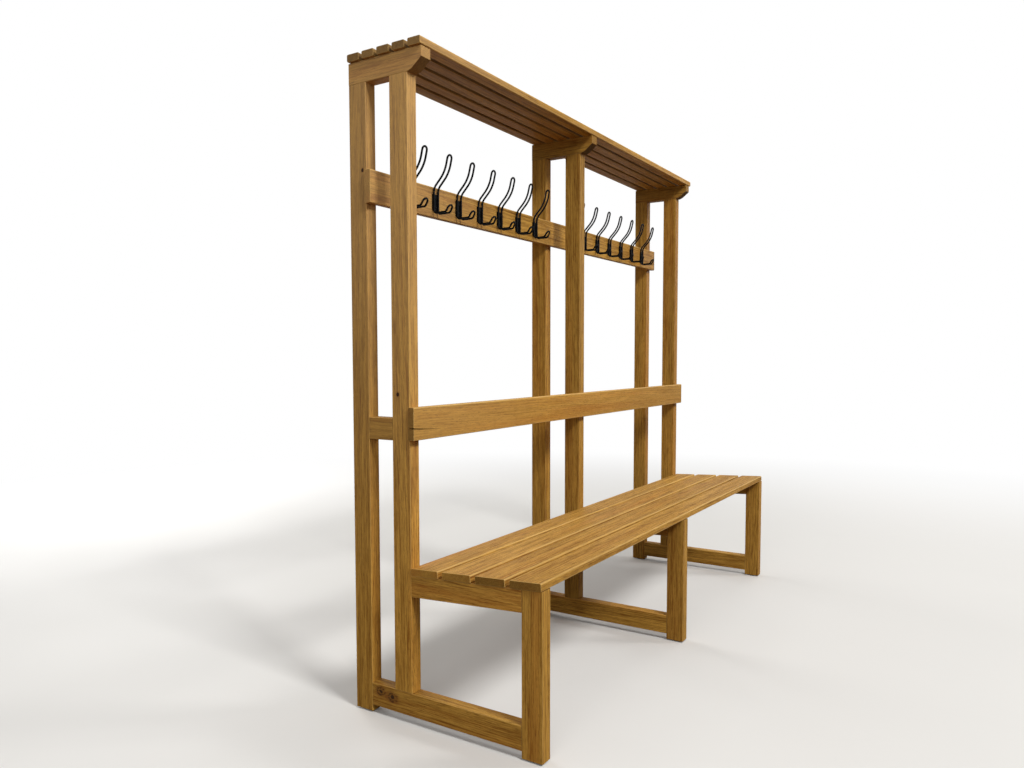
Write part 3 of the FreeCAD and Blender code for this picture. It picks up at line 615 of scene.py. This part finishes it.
def islands(node):
    """The boxes of a node's separate solids, in order along X, then Y, then Z."""
    copy = bpy.data.objects.new("islands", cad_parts[node].data.copy())
    bpy.context.scene.collection.objects.link(copy)
    choose(copy)
    bpy.ops.object.mode_set(mode="EDIT")
    bpy.ops.mesh.select_all(action="SELECT")
    bpy.ops.mesh.remove_doubles(threshold=MERGE)
    bpy.ops.mesh.separate(type="LOOSE")
    bpy.ops.object.mode_set(mode="OBJECT")
    boxes = []
    for part in list(bpy.context.selected_objects):
        corners = [vertex.co for vertex in part.data.vertices]
        low = Vector(min(corner[axis] for corner in corners) for axis in range(3))
        high = Vector(max(corner[axis] for corner in corners) for axis in range(3))
        boxes.append((low, high))
        bpy.data.objects.remove(part)
    return sorted(boxes, key=lambda box: tuple(round(value, 4) for value in box[0]))


class BENCH_OT_frames(bpy.types.Operator):
    """Makes the posts, legs, rails, spacers and bearers of the three frames"""
    bl_idname = "bench.frames"
    bl_label = "Make frames"

    def execute(self, context):
        self.sizes = context.scene.bench_timber
        self.head_height = context.scene.bench_metal.wood_head_height
        self.made = []
        self.screws = {
            "rear_post": islands("hook_rail_screws"), "seat_rail": islands("seat_slat_screws")}
        for side in SIDES:
            boxes = {piece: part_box(f"{side}_{piece}") for piece in FRAME_PIECES}
            self.uprights(side, boxes)
            self.rails(side, boxes)
            self.bearer(side, boxes)
        for piece in self.made:
            dress_timber(piece)
        return {"FINISHED"}

    def timber(self, name, axis, low, high, shape=None, holes=None, dust_and_shade=None):
        piece = start_cube(name + OAK, low, high)
        if shape:
            bpy.ops.object.mode_set(mode="EDIT")
            shape(piece)
            bpy.ops.object.mode_set(mode="OBJECT")
        ease(piece, ALONG[axis], self.sizes.frame_rounding, self.sizes.frame_end_rounding)
        if holes:
            bore(piece, *holes)
        self.made.append(piece)
        lay_grain(piece, axis, len(self.made), self.sizes.frame_wear, dust_and_shade)

    def uprights(self, side, boxes):
        top = boxes["shelf_bearer"][0].z
        low, high = boxes["rear_post"]
        centre = (low.x + high.x) / 2
        screws = [box for box in self.screws["rear_post"] if low.x < box[0].x < high.x]
        spots = [(centre, high.y, (box[0].z + box[1].z) / 2) for box in screws]
        depth = high.y - screws[0][1].y + self.head_height
        self.timber(
            f"{side}_rear_post", "Z", low, (high.x, high.y, top),
            holes=(spots, FORWARD, self.sizes.counterbore, depth))
        low, high = boxes["front_post"]
        self.timber(
            f"{side}_front_post", "Z", (low.x, low.y, boxes["bottom_rail"][1].z), (high.x, high.y, top))
        low, high = boxes["leg"]
        middle = middle_of(boxes["leg"])

        def slope_top(piece):
            pick(piece, "verts", lambda vertex: vertex.co.z > middle.z and vertex.co.y > middle.y)
            bpy.ops.transform.translate(value=(0, 0, -SEAT_SLOPE * (high.y - low.y)))

        self.timber(f"{side}_leg", "Z", low, high, slope_top)

    def rails(self, side, boxes):
        rear = boxes["rear_post"][0].y
        front = boxes["leg"][1].y
        low, high = boxes["bottom_rail"]
        self.timber(f"{side}_bottom_rail", "Y", (low.x, front, low.z), (high.x, rear, high.z))
        low, high = boxes["spacer"]
        self.timber(
            f"{side}_spacer", "Y", (low.x, boxes["front_post"][1].y, low.z), (high.x, rear, high.z))
        low, high = boxes["seat_rail"]
        back = boxes["front_post"][0].y
        fall = SEAT_SLOPE * (back - front)

        def slope(piece):
            pick(piece, "verts", lambda vertex: vertex.co.y > (front + back) / 2)
            bpy.ops.transform.translate(value=(0, 0, -fall))

        screws = [box for box in self.screws["seat_rail"] if low.x < box[0].x < high.x]
        centre = (low.x + high.x) / 2
        spots = []
        for box in screws:
            middle = middle_of(box)
            spots.append(Vector((centre, middle.y, middle.z)) - SEAT_NORMAL * SEAT_BORE_START)
        self.timber(
            f"{side}_seat_rail", "Y", (low.x, front, low.z + fall), (high.x, back, high.z), slope,
            (spots, SEAT_NORMAL, self.sizes.counterbore, SEAT_BORE_DEPTH))

    def bearer(self, side, boxes):
        low, high = boxes["shelf_bearer"]
        sizes = self.sizes

        def nose(piece):
            corner = Vector((low.x, low.y + sizes.nose_run, low.z))
            tip = Vector((low.x, low.y, high.z - sizes.nose_front))
            line = (tip - corner).normalized()
            bpy.ops.mesh.select_all(action="SELECT")
            bpy.ops.mesh.bisect(
                plane_co=corner, plane_no=ALONG["X"].cross(line), use_fill=True, clear_outer=True)
            near = 0.0005
            pick(piece, "edges", lambda edge: all(
                abs(vertex.co.z - low.z) < near and abs(vertex.co.y - corner.y) < near
                for vertex in edge.verts))
            bpy.ops.mesh.bevel(offset=sizes.nose_softness, segments=5, affect="EDGES")

        # Painted shade: the slanted underside of the nose is darkened as if in shadow
        def under_nose(face):
            return face.normal.z < -0.3 and face.normal.y < -0.1

        self.timber(f"{side}_shelf_bearer", "Y", low, high, nose, dust_and_shade=under_nose)


# The frames' timbers draw their grain from the numbers after 0, and the boards from those after this
FIRST_BOARD = 100


class BENCH_OT_boards(bpy.types.Operator):
    """Makes the seat slats, shelf slats, backrest and hook rail"""
    bl_idname = "bench.boards"
    bl_label = "Make boards"

    def execute(self, context):
        self.sizes = context.scene.bench_timber
        self.count = FIRST_BOARD
        for name in SEAT_SLATS:
            self.seat_slat(name)
        screws = islands("shelf_slat_screws")
        for name in SHELF_SLATS:
            self.shelf_slat(name, screws)
        self.board("backrest", *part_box("backrest"), shape=self.split)
        self.board("hook_rail", *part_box("hook_rail"))
        return {"FINISHED"}

    def board(self, name, low, high, tilt=0, holes=None, shape=None, dust_and_shade=None):
        piece = start_cube(name + OAK, low, high, tilt)
        ease(piece, ALONG["X"], self.sizes.board_rounding, self.sizes.board_end_rounding)
        if holes:
            bore(piece, *holes)
        if shape:
            shape(piece, low, high)
        self.count += 1
        lay_grain(piece, "X", self.count, self.sizes.board_wear, dust_and_shade)
        dress_timber(piece)

    def split(self, piece, low, high):
        """Cuts a drying split into the left end: a thin wedge nearly through the board."""
        sizes = self.sizes
        overrun = sizes.split_width
        middle = low.z + sizes.split_height
        half = sizes.split_width / 2
        wedge = start_cube(
            "split_wedge", (low.x - overrun, low.y - overrun, middle - half),
            (low.x + sizes.split_length, high.y - overrun, middle + half))
        bpy.ops.object.mode_set(mode="EDIT")
        pick(wedge, "verts", lambda vertex: vertex.co.x > low.x)
        bpy.ops.transform.resize(value=(1, 1, 0))
        bpy.ops.transform.translate(value=(0, 0, -sizes.split_fall))
        bpy.ops.mesh.select_all(action="SELECT")
        bpy.ops.mesh.remove_doubles(threshold=MERGE)
        bpy.ops.object.mode_set(mode="OBJECT")
        cut(piece, wedge)

    def shelf_slat(self, name, screws):
        """A slat with holes for its screws, and painted shade on the sides that face another slat."""
        low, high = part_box(name)
        spots = [
            ((box[0].x + box[1].x) / 2, (box[0].y + box[1].y) / 2, high.z)
            for box in screws if low.y < box[0].y < high.y]

        # Painted shade: the sides in the gaps between slats are darkened as if in shadow
        def in_gap(face):
            way = face.normal.y
            return way > 0.5 and name != SHELF_SLATS[0] or way < -0.5 and name != SHELF_SLATS[-1]

        holes = (spots, DOWN, self.sizes.counterbore, self.sizes.shelf_bore_depth)
        self.board(name, low, high, holes=holes, dust_and_shade=in_gap)

    def seat_slat(self, name):
        """The slat's own width and thickness, from the box that it fills when it is tilted."""
        low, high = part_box(name)
        size = high - low
        cosine, sine = math.cos(SEAT_TILT), math.sin(SEAT_TILT)
        width = (cosine * size.y - sine * size.z) / math.cos(2 * SEAT_TILT)
        thickness = (cosine * size.z - sine * size.y) / math.cos(2 * SEAT_TILT)
        half = Vector((size.x, width, thickness)) / 2
        centre = middle_of((low, high))
        self.board(name, centre - half, centre + half, -SEAT_TILT)


def paint(node, material):
    """Gives a node of the frame its finish."""
    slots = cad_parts[node].data.materials
    slots.clear()
    slots.append(material)


def turned(name, profile, steps=24):
    """A piece turned about Z: each point of its half section is so far out and so far up."""
    bpy.ops.object.select_all(action="DESELECT")
    bpy.ops.mesh.primitive_plane_add(size=0.001)
    piece = bpy.context.object
    piece.name = name
    piece.data.name = name
    bpy.ops.object.mode_set(mode="EDIT")
    bpy.ops.mesh.select_mode(type="VERT")
    bpy.ops.mesh.select_all(action="SELECT")
    bpy.ops.mesh.merge(type="CENTER")
    out, up = profile[0]
    bpy.ops.transform.translate(value=(out, 0, up))
    for (out, up), (next_out, next_up) in zip(profile, profile[1:]):
        bpy.ops.mesh.extrude_region_move(
            TRANSFORM_OT_translate={"value": (next_out - out, 0, next_up - up)})
    bpy.ops.mesh.select_all(action="SELECT")
    bpy.ops.mesh.spin(steps=steps, angle=2 * math.pi, center=(0, 0, 0), axis=(0, 0, 1))
    bpy.ops.mesh.select_all(action="SELECT")
    bpy.ops.mesh.remove_doubles(threshold=MERGE / 10)
    bpy.ops.mesh.normals_make_consistent(inside=False)
    bpy.ops.object.mode_set(mode="OBJECT")
    return piece


def quarter(out, up, radius, start):
    """Points of a quarter circle in a half section, from a start angle in degrees and rising."""
    steps = 4
    angles = [math.radians(start + 90 * step / steps) for step in range(steps + 1)]
    return [(out + radius * math.cos(angle), up + radius * math.sin(angle)) for angle in angles]


def screw(name, head, head_height, shank, length, point, socket, socket_depth):
    """A pan head screw with a hexagonal socket: its head's underside is at zero and its point below."""
    crown = head_height * 0.6
    blunt = 0.3
    piece = turned(name, [
        (0, -length), (shank / 2 * blunt, point * blunt - length), (shank / 2, point - length),
        (shank / 2, 0), (head / 2, 0), *quarter(head / 2 - crown, head_height - crown, crown, 0),
        (0, head_height)])
    bpy.ops.object.select_all(action="DESELECT")
    bpy.ops.mesh.primitive_cylinder_add(
        vertices=6, radius=socket / 2, depth=2 * socket_depth, location=(0, 0, head_height))
    cut(piece, bpy.context.object)
    return piece


def pointing(direction, spot):
    """Where a small piece stands whose own Z axis points in a direction."""
    return Matrix.Translation(spot) @ direction.to_track_quat("Z", "Y").to_matrix().to_4x4()


def set_out(piece, places, material, node):
    """Copies a small piece to each of its places, and lets the joined copies stand for their node."""
    copies = []
    for place in places:
        copy = piece.copy()
        copy.data = piece.data.copy()
        bpy.context.scene.collection.objects.link(copy)
        copy.matrix_world = place
        copies.append(copy)
    name = piece.name
    bpy.data.objects.remove(piece)
    choose(*copies)
    bpy.ops.object.transform_apply(location=True, rotation=True, scale=True)
    bpy.ops.object.join()
    group = bpy.context.object
    group.name = name
    group.data.name = name
    group.data.materials.clear()
    group.data.materials.append(material)
    bpy.ops.object.shade_smooth_by_angle(angle=SMOOTH_ANGLE)
    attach(group, "root")
    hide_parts(node)


class BENCH_OT_hooks(bpy.types.Operator):
    """Finishes the wire hooks and makes their plates and screws"""
    bl_idname = "bench.hooks"
    bl_label = "Make hooks"

    def execute(self, context):
        sizes = context.scene.bench_metal
        for name in HOOKS:
            paint(name, finish("black_powder_coat"))
        screws = islands("hook_screws")
        plates = islands("hook_plates")
        self.plates(sizes, plates, screws)
        length = screws[0][1].y - screws[0][0].y - sizes.hook_head_height
        piece = screw(
            "hook_screws_coated", sizes.hook_head, sizes.hook_head_height, sizes.hook_shank, length,
            sizes.screw_point, sizes.hook_socket, sizes.socket_depth)
        places = []
        for box in screws:
            spot = middle_of(box)
            spot.y = box[0].y + sizes.hook_head_height
            places.append(pointing(FORWARD, spot))
        set_out(piece, places, finish("black_powder_coat"), "hook_screws")
        return {"FINISHED"}

    def plates(self, sizes, boxes, screws):
        """A row of plates with rounded corners, two holes and four welds beside the wires."""
        low, high = boxes[0]
        centre = middle_of(boxes[0])
        piece = start_cube("hook_plates_coated", low - centre, high - centre)
        half = (high - low) / 2
        bpy.ops.object.mode_set(mode="EDIT")
        pick(piece, "edges", lambda edge: abs(edge_line(edge).y) > 0.9)
        bpy.ops.mesh.bevel(offset=sizes.plate_corner, segments=4, affect="EDGES")
        pick(piece, "edges", lambda edge: all(vertex.co.y < 0 for vertex in edge.verts))
        bpy.ops.mesh.bevel(offset=sizes.plate_rim, segments=2, affect="EDGES")
        bpy.ops.object.mode_set(mode="OBJECT")
        holes = [middle_of(box) - centre for box in screws if low.x < box[0].x < high.x]
        spots = [Vector((0, -half.y, hole.z)) for hole in holes]
        loose_fit = sizes.hook_shank * 1.1
        bore(piece, spots, ALONG["Y"], loose_fit, 3 * half.y)
        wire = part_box(HOOKS[0])
        overlap = sizes.weld_width * 0.3
        seam = (wire[1].x - wire[0].x) / 2 - WIRE_DIAMETER - overlap
        end = half.z * 0.62
        for side in (-seam, seam):
            for up in (-end, end):
                self.weld(piece, sizes, Vector((side, -half.y, up)))
        places = [Matrix.Translation(middle_of(box)) for box in boxes]
        set_out(piece, places, finish("black_powder_coat"), "hook_plates")

    def weld(self, plate, sizes, spot):
        """Joins a long flat bead to the plate."""
        bpy.ops.object.select_all(action="DESELECT")
        bpy.ops.mesh.primitive_uv_sphere_add(segments=16, ring_count=10, radius=0.5, location=spot)
        bead = bpy.context.object
        bead.scale = (sizes.weld_width, sizes.weld_width * 0.8, sizes.weld_length)
        bpy.ops.object.transform_apply(location=True, rotation=True, scale=True)
        cut(plate, bead, "UNION")


class BENCH_OT_fixings(bpy.types.Operator):
    """Makes the wood screws and finishes the dowels"""
    bl_idname = "bench.fixings"
    bl_label = "Make fixings"

    def execute(self, context):
        sizes = context.scene.bench_metal
        ways = {
            "seat_slat_screws": -SEAT_NORMAL, "shelf_slat_screws": ALONG["Z"],
            "hook_rail_screws": ALONG["Y"]}
        shelf = islands("shelf_slat_screws")
        length = shelf[0][1].z - shelf[0][0].z - sizes.wood_head_height
        for node, way in ways.items():
            piece = screw(
                node + "_plated", sizes.wood_head, sizes.wood_head_height, sizes.wood_shank, length,
                sizes.screw_point, sizes.wood_socket, sizes.socket_depth)
            head = (length - sizes.wood_head_height) / 2
            places = [pointing(way, middle_of(box) + way * head) for box in islands(node)]
            set_out(piece, places, finish("zinc_plate"), node)
        paint("dowels", finish("bare_beech"))
        return {"FINISHED"}


class BENCH_OT_glides(bpy.types.Operator):
    """Makes the foot glides with their rounded rims and pins"""
    bl_idname = "bench.glides"
    bl_label = "Make glides"

    def execute(self, context):
        sizes = context.scene.bench_metal
        boxes = islands("foot_glides")
        radius = (boxes[0][1].x - boxes[0][0].x) / 2
        top = boxes[0][1].z
        rim = sizes.glide_rim
        piece = turned("foot_glides_moulded", [
            (0, 0), *quarter(radius - rim, rim, rim, -90), (radius, sizes.glide_height),
            (sizes.glide_pin / 2, sizes.glide_height), (sizes.glide_pin / 2, top), (0, top)], 32)
        spots = [middle_of(box) for box in boxes]
        places = [Matrix.Translation((spot.x, spot.y, 0)) for spot in spots]
        set_out(piece, places, finish("glide_plastic"), "foot_glides")
        return {"FINISHED"}


# The soft lights: name, the setting that holds the power, place and size
LAMPS = (
    ("left_light", "left_power", (-2.3, -5.7, 6.5), 1.7),
    ("right_light", "right_power", (4.4, -7.2, 7.4), 2.0),
    ("side_light", "side_power", (-4.6, -1.4, 2.3), 2.4),
    ("back_light", "back_power", (1.2, 5.2, 1.8), 2.6),
    ("end_light", "end_power", (4.8, -0.8, 2.2), 2.2),
)
LAMP_AIM = Vector((0, 0, 0.9))


class BENCH_OT_stage(bpy.types.Operator):
    """Sets the floor, the soft light and the camera"""
    bl_idname = "bench.stage"
    bl_label = "Set the stage"

    def execute(self, context):
        stage = context.scene.bench_stage
        context.scene.view_settings.view_transform = "Standard"
        self.floor(stage)
        self.sky(context.scene, stage)
        for name, setting, place, size in LAMPS:
            self.lamp(name, getattr(stage, setting), place, size)
        self.camera(context.scene, stage)
        return {"FINISHED"}

    def seen(self, tree):
        """A factor that is 1 for rays that show a surface and 0 for rays that light the bench."""
        path = tree.nodes.new("ShaderNodeLightPath")
        factor = path.outputs["Is Camera Ray"]
        for ray in ("Is Glossy Ray", "Is Transmission Ray"):
            either = tree.nodes.new("ShaderNodeMath")
            either.operation = "MAXIMUM"
            tree.links.new(factor, either.inputs[0])
            tree.links.new(path.outputs[ray], either.inputs[1])
            factor = either.outputs[0]
        return factor

    def floor(self, stage):
        """A pale floor that takes the shadow, fades to white further out and is clear from below."""
        bpy.ops.object.select_all(action="DESELECT")
        bpy.ops.mesh.primitive_plane_add(size=60, location=(0, 0, 0))
        floor = bpy.context.object
        floor.name = "floor"
        cover = Finish("pale_floor")
        tree = cover.tree
        place = cover.place()
        mottle = cover.noise(place, (3, 3, 3), 3)
        low = tuple(channel * 0.97 for channel in stage.floor_colour)
        cover.shade(
            base_color=cover.mix(mottle, low, stage.floor_colour), roughness=0.6 + mottle * 0.1,
            specular_ior_level=0.2)
        away = cover.node("ShaderNodeVectorMath", {"operation": "LENGTH"}, {0: place}, "Value")
        fade = cover.step(away, stage.floor_clear, stage.floor_end)
        white = cover.node("ShaderNodeEmission", None, {"Color": (1, 1, 1), "Strength": 1})
        shown = cover.blend(fade, Value(cover, cover.shader.outputs[0]), white)
        bounce = cover.node("ShaderNodeBsdfDiffuse", None, {"Color": stage.bounce_colour})
        both = cover.blend(Value(cover, self.seen(tree)), bounce, shown)
        below = cover.node("ShaderNodeNewGeometry", None, None, "Backfacing")
        clear = cover.node("ShaderNodeBsdfTransparent")
        one_sided = cover.blend(below, both, clear)
        tree.links.new(one_sided.socket, tree.nodes["Material Output"].inputs["Surface"])
        floor.data.materials.append(cover.material)

    def sky(self, scene, stage):
        """Even light on the bench, and a plain white background behind it."""
        world = bpy.data.worlds.new("soft_sky")
        scene.world = world
        world.use_nodes = True
        tree = world.node_tree
        light = tree.nodes["Background"]
        light.inputs["Color"].default_value = (*stage.sky_colour, 1)
        light.inputs["Strength"].default_value = stage.sky_strength
        white = tree.nodes.new("ShaderNodeBackground")
        white.inputs["Color"].default_value = (1, 1, 1, 1)
        mix = tree.nodes.new("ShaderNodeMixShader")
        tree.links.new(self.seen(tree), mix.inputs[0])
        tree.links.new(light.outputs[0], mix.inputs[1])
        tree.links.new(white.outputs[0], mix.inputs[2])
        tree.links.new(mix.outputs[0], tree.nodes["World Output"].inputs["Surface"])

    def lamp(self, name, power, place, size):
        turn = (LAMP_AIM - Vector(place)).to_track_quat("-Z", "Y").to_euler()
        bpy.ops.object.light_add(type="AREA", location=place, rotation=turn)
        lamp = bpy.context.object
        lamp.name = name
        lamp.data.energy = power
        lamp.data.size = size

    def camera(self, scene, stage):
        yaw, dip, roll = stage.camera_yaw, stage.camera_dip, stage.camera_roll
        ahead = Vector((
            math.cos(yaw) * math.cos(dip), math.sin(yaw) * math.cos(dip), -math.sin(dip)))
        right = ahead.cross(ALONG["Z"]).normalized()
        up = right.cross(ahead)
        right, up = (
            right * math.cos(roll) + up * math.sin(roll), up * math.cos(roll) - right * math.sin(roll))
        turn = Matrix((right, up, -ahead)).transposed()
        bpy.ops.object.camera_add(location=stage.camera_place, rotation=turn.to_euler())
        camera = bpy.context.object
        camera.name = "camera"
        camera.data.sensor_width = 36
        camera.data.lens = stage.camera_lens
        camera.data.shift_x, camera.data.shift_y = stage.camera_shift
        camera.data.clip_end = 200
        scene.camera = camera


STEPS = (
    BENCH_OT_frames, BENCH_OT_boards, BENCH_OT_hooks, BENCH_OT_fixings, BENCH_OT_glides, BENCH_OT_stage)


class BENCH_PT_panel(bpy.types.Panel):
    """Lists the bench's steps and settings"""
    bl_idname = "BENCH_PT_panel"
    bl_label = "Slatted bench"
    bl_space_type = "VIEW_3D"
    bl_region_type = "UI"
    bl_category = "Bench"

    def draw(self, context):
        for step in STEPS:
            self.layout.operator(step.bl_idname)
        for group, kind in SETTINGS.items():
            for key in kind.__annotations__:
                self.layout.prop(getattr(context.scene, group), key)


SETTINGS = {"bench_timber": BenchTimber, "bench_metal": BenchMetal, "bench_stage": BenchStage}
CLASSES = (*SETTINGS.values(), *STEPS, BENCH_PT_panel)


def register():
    for item in CLASSES:
        bpy.utils.register_class(item)
    for key, group in SETTINGS.items():
        setattr(bpy.types.Scene, key, bpy.props.PointerProperty(type=group))


def unregister():
    for key in SETTINGS:
        delattr(bpy.types.Scene, key)
    for item in reversed(CLASSES):
        bpy.utils.unregister_class(item)


def main():
    register()
    for step in STEPS:
        area, name = step.bl_idname.split(".")
        getattr(getattr(bpy.ops, area), name)()


if __name__ == "__main__":
    main()
